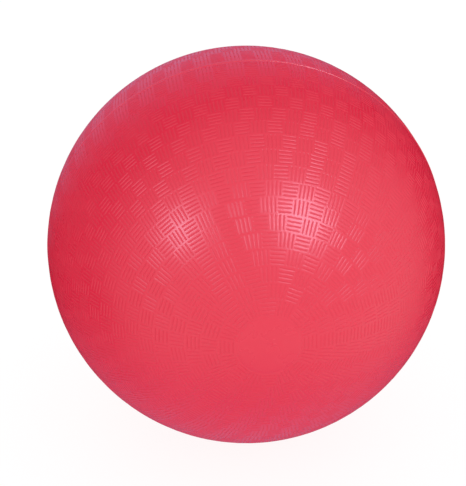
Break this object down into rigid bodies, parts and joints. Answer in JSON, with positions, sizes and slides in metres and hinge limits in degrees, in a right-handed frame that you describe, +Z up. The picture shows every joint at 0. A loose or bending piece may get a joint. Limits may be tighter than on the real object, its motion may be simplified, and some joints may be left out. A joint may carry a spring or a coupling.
{
  "type": "playground rubber ball",
  "caption": "Hollow red rubber playground ball with a moulded basket-weave grip and a self-sealing needle valve.",
  "frame": {"origin": "centre of the ball", "axes": "+Z up with the ball resting on the lowest point of its parting line; +Y along the moulding axis, out through the needle valve; the closed pole faces -Y"},
  "size_m": [0.2164, 0.2159, 0.2164],
  "materials": {
    "cover": "satin red moulded rubber",
    "bladder": "matt dark butyl sheet, lightly dusted",
    "valve": "satin red rubber",
    "plug": "satin dark grey rubber"
  },
  "bodies": {
    "root": {"cover_front": "cover", "cover_back": "cover", "bladder_front": "bladder", "bladder_back": "bladder", "valve_housing": "valve", "valve_plug": "plug", "valve_patch": "bladder"}
  },
  "joints": []
}
